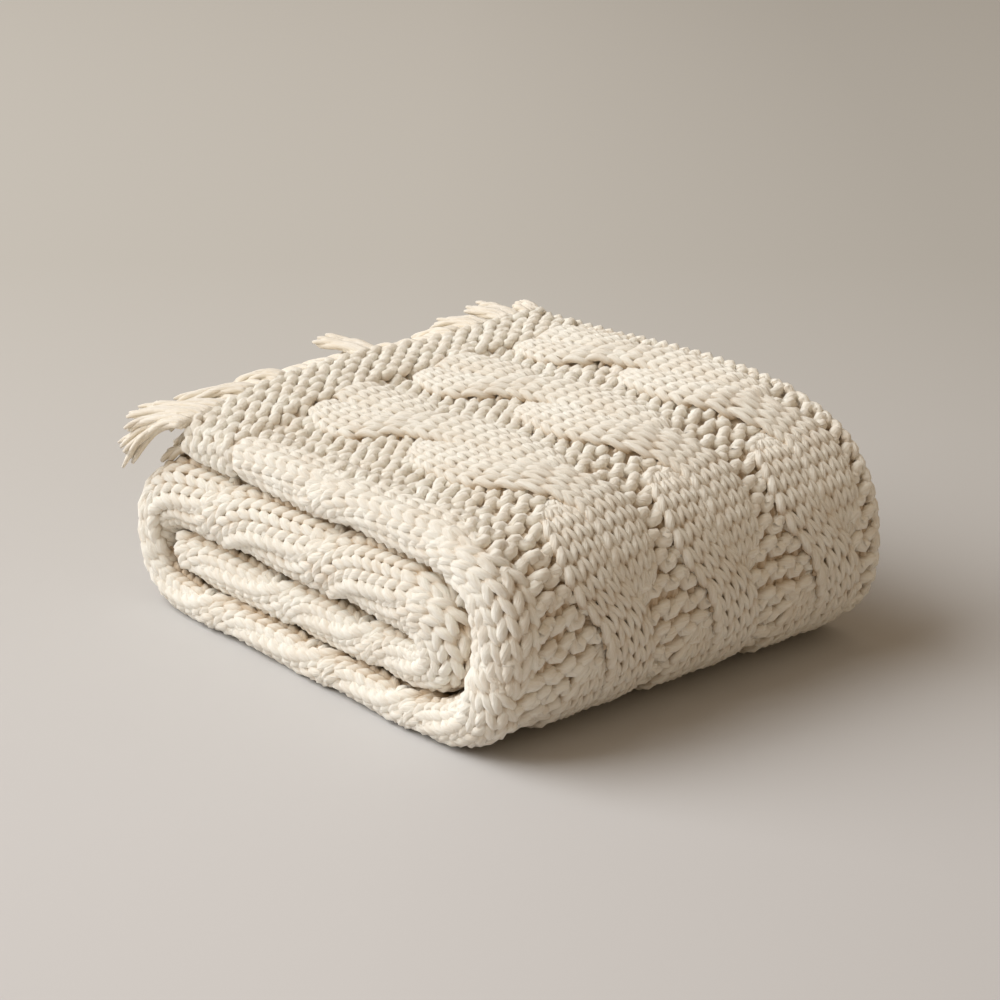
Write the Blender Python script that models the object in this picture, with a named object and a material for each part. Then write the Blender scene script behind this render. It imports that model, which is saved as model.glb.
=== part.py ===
"""A chunky cable-knit throw, folded in three lengthwise and then rolled flat.

The knitted cloth is one piece. Folded in three it is a band about 410 mm wide, whose section has
three plies joined by a fold at the near side and one at the far side. The band is then wound
into a flat spiral of four layers: top, round to the bottom, back inside as the second layer, and
folded under as the third. Lengths in the tables are millimetres; the meshes are in metres.
The origin is on the floor under the middle of the pack, +X runs along the layers towards the big
outer fold, +Y runs from the near fold to the far side and +Z is up.
"""
import math
from collections import namedtuple

import bmesh
import bpy
import numpy as np

MM = 0.001

# ---- the wound band: one row for each layer, with the fold that follows it ------------------
# inner_z, outer_z: heights of the faces that look into and out of the spiral, at the near side
# turn_x: where the next fold starts; reach and power: how far and how squarely each face bulges
# edge_out: how far the near fold of this layer stands out of the pack's near plane
Layer = namedtuple("Layer", "name inner_z outer_z turn_x inner_reach outer_reach "
                            "inner_power outer_power edge_out")
LAYERS = (
    Layer("top",    136.0, 174.0,  138.0, 52.0, 104.0, 2.0, 2.5, -5.0),
    Layer("bottom",  30.0,   0.0, -184.0, 36.0,  77.0, 2.8, 2.4,  7.0),
    Layer("second",  71.0, 134.0,  112.0,  2.0,  74.0, 2.0, 2.3,  2.0),
    Layer("third",   69.0,  31.5, -206.0,  0.0,   0.0, 2.0, 2.0, -2.0),
)
TOP_END_X = -195.0          # where the fringed end of the top layer lies
RUN_OUT = 90.0              # the path goes on this far past the end, for the fringe
FLAT_STEPS = 60             # points on a layer of the path
FOLD_STEPS = 60             # points on a fold of the path

# ---- the folded band -------------------------------------------------------------------------
BAND_WIDTH = 410.0
PLY = 12.6                  # thickest that one ply gets
PLY_GAP = 0.8               # least gap between two plies
FAR_FOLD_INSET = 7.0        # the far fold lies this far inside the free edge above it
INNER_EDGE_INSET = 8.0      # the tucked-in ply ends this far behind the near fold's curve
EDGE_ROUNDING = 3.5
NEAR_FOLD_ARC = (92.0, 268.0)
NEAR_FOLD_POINTS = 9
BEHIND_FOLD = 8.0
LOWER_PLY_POINTS = (0.37, 0.68)
SIDE_LIFT_RUN = 130.0       # the pack swells over this width behind the near fold
SIDE_LIFT = 0.07
FAR_LIFT = 0.02
MID_LIFT = 0.07             # further swell of the far side in the middle of the length
MID_LIFT_X = 20.0
MID_LIFT_SPREAD = 190.0

# ---- cables ----------------------------------------------------------------------------------
# distance along the band at which the two strands of every cable cross
CROSSING_AT = (62.0, 176.0, 345.0, 450.0, 565.0, 690.0, 848.0, 975.0, 1105.0, 1235.0, 1372.0,
               1509.0, 1640.0, 1775.0)
CABLE_CENTRES = (117.0, 230.0, 346.0)
STRAND_HALF_WIDTH = 24.5
STRAND_SWING = 21.0         # how far a strand wanders to each side of its cable's middle
WIDEST_PHASE = 0.38         # part of the way between two crossings at which it is farthest out
RIDGE = 7.0                 # height of a cable over the plain knitting
BACK_STRAND_DROP = 4.5      # how much lower the strand that passes behind lies
CROWN_POWER = 0.38
NEAR_FOLD_RELIEF = 0.8      # share of the relief that the near fold shows
PLAIN_BELOW = 252.0         # angle on the near fold from which it is plain
CABLE_POINTS = 8
BORDER_LENGTH = 58.0        # ribbed band next to the fringe
BORDER_RIBS = 5
BORDER_RIB_HEIGHT = 3.4
BORDER_DEPTH = 1.2

# ---- stations: how many sections each stretch of the band has, in order -----------------------
BORDER_SECTIONS = 10
STRETCH_SECTIONS = {"top layer": 15, "outer fold": 14, "bottom layer": 9, "left fold": 9,
                    "second layer": 8, "inner fold": 7, "third layer": 9}
END_ROUNDING = ((-14.0, 1.0), (-5.0, 0.84), (0.0, 0.54))     # distance from the end, share of height

# ---- fringe ----------------------------------------------------------------------------------
STRIP_GAP = 0.3             # between the cloth's end and the strip that the strands hang from
STRIP_LENGTH = 4.0
STRIP_HALF_HEIGHT = 2.6
STRANDS_A_PLY = 29
STRAND_HALF_ROOT = 3.4
STRAND_RINGS = 4
STRAND_MARGIN = 11.0
TIP_TAPER = 0.42
# length of the strands, their fall at the tip and their sway, for each ply
Tassel = namedtuple("Tassel", "length fall sway")
TASSELS = {"upper": Tassel(54.0, 13.0, 4.0),
           "lower": Tassel(48.0, 21.0, 4.0),
           "middle": Tassel(50.0, 15.5, 4.0)}
CORNER_SPLAY = -16.0        # the strands at the near corner turn outwards by this much
CORNER_RUN = 70.0

WOOL_CREAM = (0.80, 0.73, 0.62, 1.0)


def bulge(start_x, direction, top, bottom, reach, power, steps):
    """Half of a superellipse between two heights: x swings out by reach, z runs top to bottom."""
    angle = np.linspace(math.pi / 2, -math.pi / 2, steps, endpoint=False)
    across = np.abs(np.cos(angle)) ** (2 / power)
    along = np.sign(np.sin(angle)) * np.abs(np.sin(angle)) ** (2 / power)
    x = start_x + direction * reach * across
    z = (top + bottom) / 2 + (top - bottom) / 2 * along
    return np.stack([x, z], axis=-1)


def wound_path():
    """Inner and outer line of the spiral at the near side, with the distance along their middle.

    Each layer is a level run and each fold a half superellipse; the distance is zero at the
    fringed end of the cloth and negative where the fringe hangs out of it.
    """
    inner, outer, edge = [], [], []
    start = TOP_END_X - RUN_OUT
    direction = 1
    for layer, following in zip(LAYERS, LAYERS[1:] + (None,)):
        x = np.linspace(start, layer.turn_x, FLAT_STEPS, endpoint=following is None)
        inner.append(np.stack([x, np.full(FLAT_STEPS, layer.inner_z)], axis=-1))
        outer.append(np.stack([x, np.full(FLAT_STEPS, layer.outer_z)], axis=-1))
        edge.append(np.full(FLAT_STEPS, layer.edge_out))
        if following is not None:
            inner.append(bulge(layer.turn_x, direction, layer.inner_z, following.inner_z,
                               layer.inner_reach, layer.inner_power, FOLD_STEPS))
            outer.append(bulge(layer.turn_x, direction, layer.outer_z, following.outer_z,
                               layer.outer_reach, layer.outer_power, FOLD_STEPS))
            edge.append(np.linspace(layer.edge_out, following.edge_out, FOLD_STEPS))
            start = layer.turn_x
            direction = -direction
    ends = np.cumsum([len(part) for part in inner])
    inner, outer = np.concatenate(inner), np.concatenate(outer)
    middle = (inner + outer) / 2
    steps = np.linalg.norm(np.diff(middle, axis=0), axis=1)
    distance = np.concatenate([[0.0], np.cumsum(steps)]) - RUN_OUT
    return distance, inner, outer, np.concatenate(edge), distance[np.minimum(ends, len(steps))]


DISTANCE, INNER_LINE, OUTER_LINE, EDGE_OUT, STRETCH_ENDS = wound_path()
BAND_LENGTH = float(DISTANCE[-1])


def along(line, s):
    """Value of a path column at distance s."""
    return np.interp(s, DISTANCE, line)


def thickness(s):
    """Height of the folded band, from its inner to its outer face, at distance s."""
    return np.hypot(along(OUTER_LINE[:, 0], s) - along(INNER_LINE[:, 0], s),
                    along(OUTER_LINE[:, 1], s) - along(INNER_LINE[:, 1], s))


def place(s, v, h):
    """Point of the pack: s along the band, v across it from the near fold, h up through it.

    The point lies between the inner and the outer line in the ratio of h to the thickness. The
    heights are then stretched a little towards the far side, where the pack is fullest.
    """
    share = h / thickness(s)
    x = along(INNER_LINE[:, 0], s) * (1 - share) + along(OUTER_LINE[:, 0], s) * share
    z = along(INNER_LINE[:, 1], s) * (1 - share) + along(OUTER_LINE[:, 1], s) * share
    y = v - BAND_WIDTH / 2 - along(EDGE_OUT, s) * (1 - v / BAND_WIDTH)
    rise = np.clip(v / SIDE_LIFT_RUN, 0.0, 1.0)
    rise = rise * rise * (3 - 2 * rise)
    swell = np.exp(-((x - MID_LIFT_X) / MID_LIFT_SPREAD) ** 2)
    lift = 1 + SIDE_LIFT * rise + (FAR_LIFT + MID_LIFT * swell) * v / BAND_WIDTH
    return np.stack([x + 0 * z, y + 0 * z, z * lift], axis=-1) * MM


def crossing_phase(s):
    """Number of crossings passed at distance s, with the part of the way to the next one."""
    return float(np.interp(s, CROSSING_AT, np.arange(len(CROSSING_AT))))


def strand_places(s):
    """Sideways place and height share of the two strands of a cable at distance s."""
    turn = math.pi * (crossing_phase(s) - WIDEST_PHASE)
    swing = STRAND_SWING * math.cos(turn)
    depth = BACK_STRAND_DROP * math.sin(turn)
    return (-swing, max(0.0, -depth)), (swing, max(0.0, depth))


def cable_height(s, offset):
    """Height of a cable over the plain knitting, at a distance from the cable's middle."""
    best = 0.0
    for middle, drop in strand_places(s):
        across = (offset - middle) / STRAND_HALF_WIDTH
        if abs(across) < 1:
            best = max(best, (RIDGE - drop) * (1 - across * across) ** CROWN_POWER)
    return best


def cable_edges(s):
    """Left and right edge of a cable, from its middle."""
    swing = abs(strand_places(s)[0][0])
    return -swing - STRAND_HALF_WIDTH, swing + STRAND_HALF_WIDTH


def border_depth(s):
    """How far the ribbed border lies under the crown of the cables."""
    rib = 0.5 + 0.5 * math.cos(2 * math.pi * BORDER_RIBS * s / BORDER_LENGTH + math.pi)
    return BORDER_DEPTH + BORDER_RIB_HEIGHT * (1 - rib)


def rest_flatness(s):
    """1 where the cloth lies on the floor and its relief is pressed flat, 0 elsewhere."""
    start, end = STRETCH_ENDS[1:3]
    return float(np.interp(s, (start - 40.0, start - 10.0, end + 10.0, end + 40.0), (0, 1, 1, 0)))


def ply_sizes(s):
    """Thickness of a ply and the gap between two plies at distance s."""
    height = float(thickness(s))
    ply = min(PLY, (height - 2 * PLY_GAP) / 3)
    return height, ply, (height - 3 * ply) / 2


def arc(centre_v, centre_h, radius_v, radius_h, start, end, count):
    """Points on an ellipse between two angles in degrees, both ends included."""
    angle = np.radians(np.linspace(start, end, count))
    return [(centre_v + radius_v * math.cos(a), centre_h + radius_h * math.sin(a)) for a in angle]


def relief(s, offset):
    """Depth under the band's outer face at an offset from a cable's middle."""
    if s < BORDER_LENGTH:
        return border_depth(s)
    return (RIDGE - cable_height(s, offset)) * (1 - rest_flatness(s))


def outer_side(s, height):
    """Outer face of the upper ply, from its free edge at the far side to the near fold."""
    left, right = cable_edges(s)
    ground = relief(s, 2 * STRAND_HALF_WIDTH + 2 * STRAND_SWING)
    points = [(BAND_WIDTH, height - ground - EDGE_ROUNDING),
              (BAND_WIDTH - EDGE_ROUNDING, height - ground)]
    for centre in reversed(CABLE_CENTRES):
        for offset in np.linspace(right, left, CABLE_POINTS):
            points.append((centre + offset, height - relief(s, offset)))
    points.append((height / 2 + BEHIND_FOLD, height - ground))
    return points


def near_fold(s, height):
    """Outer face of the near fold, with the cable that is wrapped round it."""
    radius = height / 2
    points = []
    for angle in np.radians(np.linspace(*NEAR_FOLD_ARC, NEAR_FOLD_POINTS)):
        offset = (math.pi - angle) * radius
        depth = relief(s, offset) if angle < math.radians(PLAIN_BELOW) else 0.0
        reach = radius - NEAR_FOLD_RELIEF * depth
        points.append((radius + reach * math.cos(angle), radius + reach * math.sin(angle)))
    return points


def band_section(s):
    """Closed section of the folded band at distance s, as places across it and heights in it."""
    height, ply, gap = ply_sizes(s)
    half = height / 2
    fold_radius = ply + gap / 2
    fold_v = BAND_WIDTH - FAR_FOLD_INSET - fold_radius
    tucked_v = half + INNER_EDGE_INSET
    middle_v = BAND_WIDTH / 2
    points = outer_side(s, height)
    points += near_fold(s, height)
    points += [(share * BAND_WIDTH, 0.0) for share in LOWER_PLY_POINTS]
    points += arc(fold_v, fold_radius, fold_radius, fold_radius, -90, 90, 6)
    points += [(middle_v, 2 * ply + gap), (tucked_v, 2 * ply + gap),
               (tucked_v - EDGE_ROUNDING, 1.5 * ply + gap), (tucked_v, ply + gap),
               (middle_v, ply + gap)]
    points += arc(fold_v, ply + gap / 2, gap / 2, gap / 2, 90, -90, 3)
    points += [(middle_v, ply)]
    points += arc(half, half, half - ply, half - ply, 270, 90, 5)
    points += [(middle_v, height - ply), (BAND_WIDTH, height - ply)]
    return points, height


def station_distances():
    """Distances of the sections: even steps in each stretch, and a rounded far end."""
    distances = list(np.linspace(0.0, BORDER_LENGTH, BORDER_SECTIONS, endpoint=False))
    start = BORDER_LENGTH
    for sections, end in zip(STRETCH_SECTIONS.values(), STRETCH_ENDS):
        end = min(end, BAND_LENGTH + END_ROUNDING[0][0])
        distances += list(np.linspace(start, end, sections, endpoint=False))
        start = end
    return distances


def new_object(name, verts, faces, material, collection):
    """A mesh object with its faces turned outwards and shaded smooth, in a collection."""
    mesh = bpy.data.meshes.new(name)
    mesh.from_pydata([tuple(v) for v in verts], [], faces)
    shape = bmesh.new()
    shape.from_mesh(mesh)
    bmesh.ops.recalc_face_normals(shape, faces=shape.faces)
    shape.to_mesh(mesh)
    shape.free()
    mesh.materials.append(material)
    mesh.shade_smooth()
    piece = bpy.data.objects.new(name, mesh)
    collection.objects.link(piece)
    return piece


def wool(name, colour, roughness):
    """Matte wool in one colour."""
    material = bpy.data.materials.new(name)
    material.use_nodes = True
    shader = material.node_tree.nodes["Principled BSDF"]
    shader.inputs["Base Color"].default_value = colour
    shader.inputs["Roughness"].default_value = roughness
    shader.inputs["Metallic"].default_value = 0.0
    return material


def make_blanket(collection):
    """The cloth: its section carried along the wound path, closed by a face at each end."""
    rings = []
    for s in station_distances():
        points, height = band_section(s)
        v, h = np.array(points).T
        rings.append(place(np.full(len(v), s), v, h))
    for back, share in END_ROUNDING:
        s = BAND_LENGTH + back
        points, height = band_section(s)
        v, h = np.array(points).T
        rings.append(place(np.full(len(v), s), v, height / 2 + (h - height / 2) * share))
    count = len(rings[0])
    faces = []
    for ring in range(len(rings) - 1):
        for i in range(count):
            j = (i + 1) % count
            faces.append((ring * count + i, ring * count + j,
                          (ring + 1) * count + j, (ring + 1) * count + i))
    last = (len(rings) - 1) * count
    faces.append(tuple(range(count)))
    faces.append(tuple(range(last, last + count)))
    return new_object("blanket", np.concatenate(rings), faces,
                      wool("cream wool knit", WOOL_CREAM, 0.9), collection)


StripNode = namedtuple("StripNode", "v h across_v across_h tassel phase")


def ply_nodes(v_values, h, up, tassel):
    """Strip nodes of one straight ply, two for each strand: its root's start and end."""
    nodes = []
    for count, v in enumerate(v_values):
        turn = -1.0 if v_values[-1] > v_values[0] else 1.0
        for side in (turn, -turn):
            name = tassel if side == turn else None
            nodes.append(StripNode(v + side * STRAND_HALF_ROOT, h, 0.0, up, name, count))
    return nodes


def strip_line():
    """Nodes of the strip along the section's middle line: upper ply, near fold, lower ply,
    far fold, middle ply. A node with a tassel starts the root of a strand."""
    height, ply, gap = ply_sizes(0.0)
    half = height / 2
    mid = half - ply / 2
    fold_radius = (ply + gap) / 2
    fold_v = BAND_WIDTH - FAR_FOLD_INSET - ply - gap / 2
    far_v = BAND_WIDTH - STRAND_MARGIN
    near_v = half + STRAND_MARGIN / 2
    inner_v = half + INNER_EDGE_INSET + STRAND_MARGIN / 2
    nodes = ply_nodes(np.linspace(far_v, near_v, STRANDS_A_PLY), height - ply / 2, 1.0, "upper")
    for angle in np.radians((125, 180, 235)):
        nodes.append(StripNode(half + mid * math.cos(angle), half + mid * math.sin(angle),
                               math.cos(angle), math.sin(angle), None, 0))
    nodes += ply_nodes(np.linspace(near_v, fold_v - STRAND_MARGIN / 2, STRANDS_A_PLY), ply / 2,
                       -1.0, "lower")
    for angle in np.radians((-45, 0, 45)):
        nodes.append(StripNode(fold_v + fold_radius * math.cos(angle),
                               ply + gap / 2 + fold_radius * math.sin(angle),
                               math.cos(angle), math.sin(angle), None, 0))
    nodes += ply_nodes(np.linspace(fold_v - STRAND_MARGIN / 2, inner_v, STRANDS_A_PLY),
                       1.5 * ply + gap, 1.0, "middle")
    return nodes


def strand_rings(start, end):
    """Rings of four points along a strand that grows from the cell between two strip nodes."""
    tassel = TASSELS[start.tassel]
    middle_v = (start.v + end.v) / 2
    corner = max(0.0, 1 - middle_v / CORNER_RUN)
    length = tassel.length * (1 + 0.1 * math.sin(2.3 * start.phase + len(start.tassel)))
    rings = []
    for step in range(1, STRAND_RINGS + 1):
        u = step / STRAND_RINGS
        size = 1 - TIP_TAPER * u
        s = -STRIP_GAP - STRIP_LENGTH - length * u
        sway = tassel.sway * math.sin(0.9 * start.phase + 2.6 * u) * u
        v = middle_v + sway + CORNER_SPLAY * corner * u * u
        fall = tassel.fall * u * u * (1 + 0.25 * corner) + 1.2 * math.sin(0.8 * start.phase) * u
        ring = []
        for node in (start, end):
            for sign in (1.0, -1.0):
                offset = (node.v - middle_v) * size
                h = node.h + sign * node.across_h * STRIP_HALF_HEIGHT * size
                point = place(np.array(s), np.array(v + offset), np.array(h))
                ring.append(point - np.array([0.0, 0.0, fall * MM]))
        rings.append(ring)
    return rings


def make_fringe(collection):
    """The fringe: a narrow strip along the cloth's end, and strands that grow from its cells."""
    nodes = strip_line()
    verts, faces = [], []
    for node in nodes:
        for s in (-STRIP_GAP, -STRIP_GAP - STRIP_LENGTH):
            for sign in (1.0, -1.0):
                v = node.v + sign * node.across_v * STRIP_HALF_HEIGHT
                h = node.h + sign * node.across_h * STRIP_HALF_HEIGHT
                verts.append(place(np.array(s), np.array(v), np.array(h)))
    for i in range(len(nodes) - 1):
        a, b = 4 * i, 4 * (i + 1)
        faces += [(a, b, b + 1, a + 1), (a, a + 2, b + 2, b), (a + 1, b + 1, b + 3, a + 3)]
        if nodes[i].tassel is None:
            faces.append((a + 2, a + 3, b + 3, b + 2))
            continue
        ring = [a + 2, a + 3, b + 2, b + 3]
        for points in strand_rings(nodes[i], nodes[i + 1]):
            base = len(verts)
            verts += points
            new = [base, base + 1, base + 2, base + 3]
            order = (0, 1, 3, 2)
            for k in range(4):
                here, there = order[k], order[(k + 1) % 4]
                faces.append((ring[here], ring[there], new[there], new[here]))
            ring = new
        faces.append((ring[0], ring[1], ring[3], ring[2]))
    last = 4 * (len(nodes) - 1)
    faces += [(0, 1, 3, 2), (last, last + 1, last + 3, last + 2)]
    return new_object("fringe", np.array(verts), faces,
                      wool("cream wool yarn", WOOL_CREAM, 0.92), collection)


def centre_on_origin(pieces):
    """Move the meshes so that the middle of their common box stands over the origin."""
    points = np.array([tuple(vert.co) for piece in pieces for vert in piece.data.vertices])
    middle = (points.min(axis=0) + points.max(axis=0)) / 2
    for piece in pieces:
        for vert in piece.data.vertices:
            vert.co.x -= middle[0]
            vert.co.y -= middle[1]


for old in list(bpy.data.objects):
    bpy.data.objects.remove(old, do_unlink=True)
pack = bpy.data.collections.new("chunky_knit_blanket")
bpy.context.scene.collection.children.link(pack)
centre_on_origin([make_blanket(pack), make_fringe(pack)])
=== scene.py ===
import math

import bpy
import numpy as np
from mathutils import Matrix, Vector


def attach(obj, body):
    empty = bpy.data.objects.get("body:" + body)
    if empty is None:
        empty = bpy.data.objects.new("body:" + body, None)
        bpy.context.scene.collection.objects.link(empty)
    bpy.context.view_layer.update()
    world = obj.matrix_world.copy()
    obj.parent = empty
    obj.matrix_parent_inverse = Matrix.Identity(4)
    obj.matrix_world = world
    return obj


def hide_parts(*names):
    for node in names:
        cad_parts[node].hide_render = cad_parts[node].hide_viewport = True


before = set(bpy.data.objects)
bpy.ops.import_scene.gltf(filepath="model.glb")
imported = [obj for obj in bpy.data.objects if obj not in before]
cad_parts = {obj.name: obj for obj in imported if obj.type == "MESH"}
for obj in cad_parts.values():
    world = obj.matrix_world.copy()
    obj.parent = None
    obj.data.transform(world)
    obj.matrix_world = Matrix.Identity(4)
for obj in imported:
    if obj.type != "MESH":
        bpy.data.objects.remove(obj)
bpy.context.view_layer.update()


# ---- Cloth: one piece of thick wool knitting, folded in three lengthwise and rolled flat ----------
# The band runs from its fringed end over the top, round the big outer fold, along the floor, up
# the left fold and back inside. Lengths are millimetres until a mesh is filled.
LAYERS = (   # inner and outer height, where the fold after it starts, that fold's inner and outer
             # reach and squareness, and how far the near edge stands out
    (136.0, 174.0, 138.0, 52.0, 104.0, 2.0, 2.5, -5.0),
    (30.0, 0.0, -184.0, 36.0, 77.0, 2.8, 2.4, 7.0),
    (71.0, 134.0, 112.0, 2.0, 74.0, 2.0, 2.3, 2.0),
    (69.0, 31.5, -206.0, 0.0, 0.0, 2.0, 2.0, -2.0),
)
TOP_START_X = -285.0
CLOTH_START = 90.0                   # the top layer's line starts this far before the cloth's end
RUN_POINTS = 60                      # points on each level run and on each fold of the line
BAND_WIDTH = 410.0
PACK_SHIFT = (9.88, 3.5, 0.0)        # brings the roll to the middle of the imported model


def half_superellipse(start_x, direction, top, bottom, reach, power):
    """x swings out by reach times cos^(2/power), z goes from top to bottom with sin^(2/power)."""
    angle = np.linspace(math.pi / 2, -math.pi / 2, RUN_POINTS, endpoint=False)
    across = np.abs(np.cos(angle)) ** (2 / power)
    along = np.sign(np.sin(angle)) * np.abs(np.sin(angle)) ** (2 / power)
    return np.stack([start_x + direction * reach * across,
                     (top + bottom) / 2 + (top - bottom) / 2 * along], axis=-1)


def rolled_path():
    """Inner and outer line of the roll: level runs joined by half superellipses.

    Distance is measured along the line midway between them, and is zero at the fringed end.
    """
    inner, outer, edge, x_start, direction = [], [], [], TOP_START_X, 1
    for layer, following in zip(LAYERS, LAYERS[1:] + (None,)):
        inner_z, outer_z, turn_x, reach_in, reach_out, power_in, power_out, edge_out = layer
        x = np.linspace(x_start, turn_x, RUN_POINTS, endpoint=following is None)
        inner.append(np.stack([x, np.full(RUN_POINTS, inner_z)], axis=-1))
        outer.append(np.stack([x, np.full(RUN_POINTS, outer_z)], axis=-1))
        edge.append(np.full(RUN_POINTS, edge_out))
        if following is not None:
            inner.append(half_superellipse(turn_x, direction, inner_z, following[0], reach_in,
                                           power_in))
            outer.append(half_superellipse(turn_x, direction, outer_z, following[1], reach_out,
                                           power_out))
            edge.append(np.linspace(edge_out, following[-1], RUN_POINTS))
            x_start, direction = turn_x, -direction
    inner, outer = np.concatenate(inner), np.concatenate(outer)
    steps = np.linalg.norm(np.diff((inner + outer) / 2, axis=0), axis=1)
    distance = np.concatenate([[0.0], np.cumsum(steps)]) - CLOTH_START
    return distance, inner, outer, np.concatenate(edge)


DISTANCE, INNER, OUTER, EDGE_OUT = rolled_path()
BAND_LENGTH = float(DISTANCE[-1])


def thickness(s):
    """Height of the folded band at distance s: from its inner line to its outer line."""
    gap = [np.interp(s, DISTANCE, OUTER[:, k]) - np.interp(s, DISTANCE, INNER[:, k]) for k in (0, 1)]
    return np.hypot(*gap)


def smooth_step(t):
    """3 t^2 - 2 t^3, with t kept between 0 and 1."""
    t = np.clip(t, 0.0, 1.0)
    return t * t * (3 - 2 * t)


LOFTED_OVER = 330.0                  # the far side's loft grows from nothing over this width
FAR_LOFT = ((0.0, 60.0, 110.0, 170.0, 270.0, 320.0, 360.0, 400.0, 430.0, 460.0),
            (7.0, 7.0, 8.0, 9.2, 11.0, 10.0, -1.0, -6.0, -4.0, 0.0))     # along the band
END_LOFT = ((0.0, 20.0, 110.0), (1.0, 1.0, 0.0))                         # along the band
END_LOFT_ACROSS = ((0.0, 25.0, 70.0, 180.0, 260.0), (0.0, 1.5, 8.0, 7.0, 2.0))


def plumpness(s, v):
    """Share of its thickness by which the top layer is lofted: the far loft at s times a smooth
    step across, and the fringed end's loft across times its fading along, over thickness."""
    far = np.interp(s, *FAR_LOFT) * smooth_step(v / LOFTED_OVER)
    end = np.interp(s, *END_LOFT) * np.interp(v, *END_LOFT_ACROSS)
    return (far + end) / thickness(s)


SWELL, SWELL_WIDTH = 0.07, 130.0     # the plies swell by this share, this far from the near edge
FAR_SWELL = 0.02                     # and by this more at the far edge
MIDDLE_SWELL = 0.07                  # and again, there, at the middle of the roll's length
MIDDLE_X, MIDDLE_SPREAD = 20.0, 190.0


def place(s, v, h):
    """World point, in metres, for s along the band, v across it and h up through it.

    The point divides the line from inner to outer in the ratio h to thickness, and the near edge
    moves out as its layer says. Heights then swell by a share that grows with a smooth step from
    the near edge, and evenly across the band to the far edge, where a bell curve of x adds to it.
    """
    share = h / thickness(s) * (1 + plumpness(s, v))
    x, z = (np.interp(s, DISTANCE, INNER[:, k]) * (1 - share)
            + np.interp(s, DISTANCE, OUTER[:, k]) * share for k in (0, 1))
    y = v - BAND_WIDTH / 2 - np.interp(s, DISTANCE, EDGE_OUT) * (1 - v / BAND_WIDTH)
    bell = np.exp(-((x - MIDDLE_X) / MIDDLE_SPREAD) ** 2)
    lift = (1 + SWELL * smooth_step(v / SWELL_WIDTH)
            + (FAR_SWELL + MIDDLE_SWELL * bell) * v / BAND_WIDTH)
    return np.stack([x + PACK_SHIFT[0], y + PACK_SHIFT[1], z * lift], axis=-1) / 1000


FOLD_SQUARENESS = 0.78               # 1 would make the near fold round, less squares it


def skin(s, q, out):
    """World point on the band's outer skin, out above it.

    q runs across the skin from the tip of the near fold: positive over the outer face, negative
    underneath. The fold is a half circle as high as the band, squared a little by taking the
    cosine to a power under one, and the faces are flat.
    """
    half = thickness(s) / 2
    quarter = math.pi / 2 * half
    turn = np.clip(q, -quarter, quarter) / half
    v = (half - (half + out) * np.abs(np.cos(turn)) ** FOLD_SQUARENESS
         + np.maximum(np.abs(q) - quarter, 0.0))
    return place(s, v, half + (half + out) * np.sin(turn))


def across_top(s, v):
    """q of a place v on the band's outer face: v less the fold's radius plus a quarter turn."""
    half = thickness(s) / 2
    return v - half + math.pi / 2 * half


# where the knitter crosses the strands of the cables on the face and of the one on the near fold
CROSSING_AT = np.array([62.0, 176.0, 345.0, 450.0, 565.0, 690.0, 848.0, 975.0, 1105.0, 1235.0,
                        1372.0, 1509.0, 1640.0, 1775.0])
COURSES_BETWEEN = (8, 12, 10, 10, 9, 12, 12, 12, 10, 11, 12, 10, 10)
FOLD_CROSSING_AT = np.array([82.0, 208.0, 373.0, 478.0, 588.0, 695.0, 850.0, 975.0, 1115.0, 1263.0,
                             1386.0, 1506.0, 1620.0, 1775.0])
FOLD_COURSES_BETWEEN = (9, 12, 8, 9, 8, 11, 9, 10, 11, 11, 13, 10, 11)
CABLE_CENTRES = (117.0, 230.0, 346.0)
RIDGE = 7.0                          # a cable stands this far over the plain knitting
STRAND_HALF_WIDTH = 24.5
NARROWEST = 0.2                      # share of its width that a strand's relief never goes below
CROWN_POWER = 0.38                   # the less, the flatter a strand's crown
BORDER_LENGTH = 69.0

# how a cable's strand wanders: crossings passed, place of its middle, share of its full width and
# drop under the crown. At 0 and 2 it passes over the other strand, at 1 it dives behind it.
STRAND_COURSE = np.array([
    (0.00, 4.0, 1.00, -1.6), (0.10, 11.0, 1.00, -1.5), (0.25, 18.0, 0.98, -0.8),
    (0.45, 20.5, 0.97, 0.0), (0.68, 22.0, 0.90, 0.6), (0.82, 24.5, 0.74, 2.0),
    (0.94, 25.5, 0.48, 4.0), (1.01, 20.0, 0.36, 6.0), (1.06, 10.0, 0.30, 8.0),
    (1.08, -6.0, 0.30, 8.0), (1.13, -15.0, 0.40, 6.0), (1.20, -20.5, 0.58, 3.4),
    (1.32, -23.5, 0.84, 1.2), (1.45, -23.5, 0.97, 0.3), (1.60, -24.0, 1.00, 0.0),
    (1.75, -20.5, 1.00, -0.8), (1.87, -11.0, 1.00, -1.6), (2.00, 4.0, 1.00, -1.6)])
UNDER = (1.035, 1.105)               # where the diving strand is out of sight
ROUNDING = 23                        # points of the running mean that rounds the strand's course
OPENING = 0.4                        # part of the first stretch in which the strands open out,
OPENS_FROM = 0.8                     # from this share of their width


def smooth_course():
    """The strand's course on a fine grid, rounded by a short running mean with a bell of weights."""
    u = np.linspace(-0.5, 2.5, 601)
    table = [np.interp(u % 2.0, STRAND_COURSE[:, 0], STRAND_COURSE[:, k]) for k in (1, 2, 3)]
    window = np.hanning(ROUNDING)
    soft = [np.convolve(np.pad(row, ROUNDING // 2, mode="edge"), window / window.sum(), mode="valid")
            for row in table]
    return u, soft


COURSE_U, (COURSE_PLACE, COURSE_SHARE, COURSE_DROP) = smooth_course()


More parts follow.
